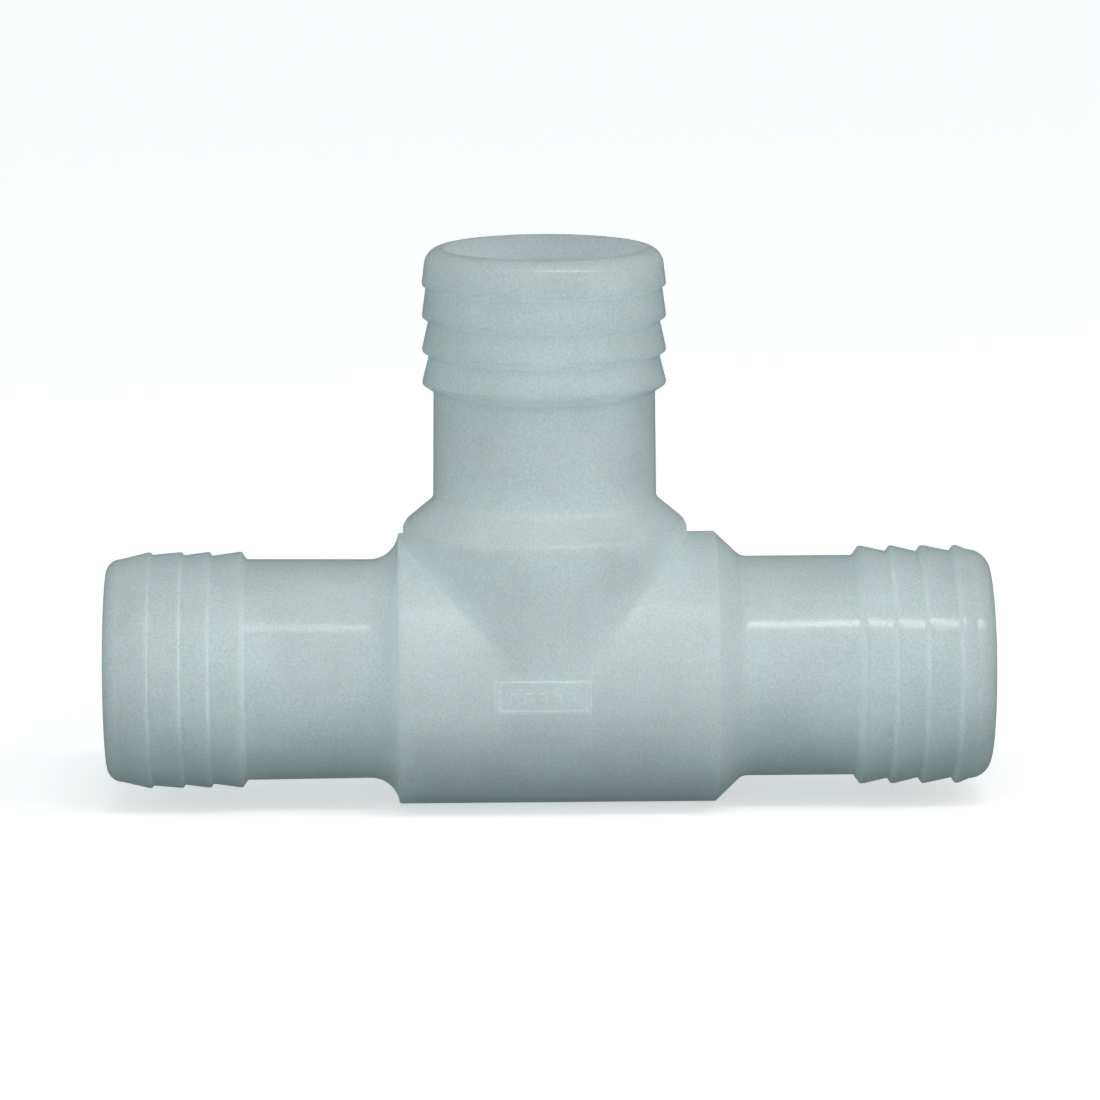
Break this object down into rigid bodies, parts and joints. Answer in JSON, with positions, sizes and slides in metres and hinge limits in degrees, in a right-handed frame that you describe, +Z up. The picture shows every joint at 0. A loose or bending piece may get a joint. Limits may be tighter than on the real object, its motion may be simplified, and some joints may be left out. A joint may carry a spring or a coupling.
{
  "type": "barbed tee connector",
  "caption": "Hollow barbed insert tee in translucent nylon that joins a side branch of flexible water pipe to a straight run of it.",
  "frame": {"origin": "where the run axis and the branch axis cross", "axes": "+X along the run towards the right spigot, +Z up the branch, -Y out of the side with the moulded frame"},
  "size_m": [0.1329, 0.0426, 0.0843],
  "materials": {
    "natural_nylon": "natural translucent nylon, pale grey-green, finely grainy, softly glossy"
  },
  "bodies": {
    "root": {"hub": "natural_nylon", "left_spigot": "natural_nylon", "right_spigot": "natural_nylon", "branch_spigot": "natural_nylon"}
  },
  "joints": []
}
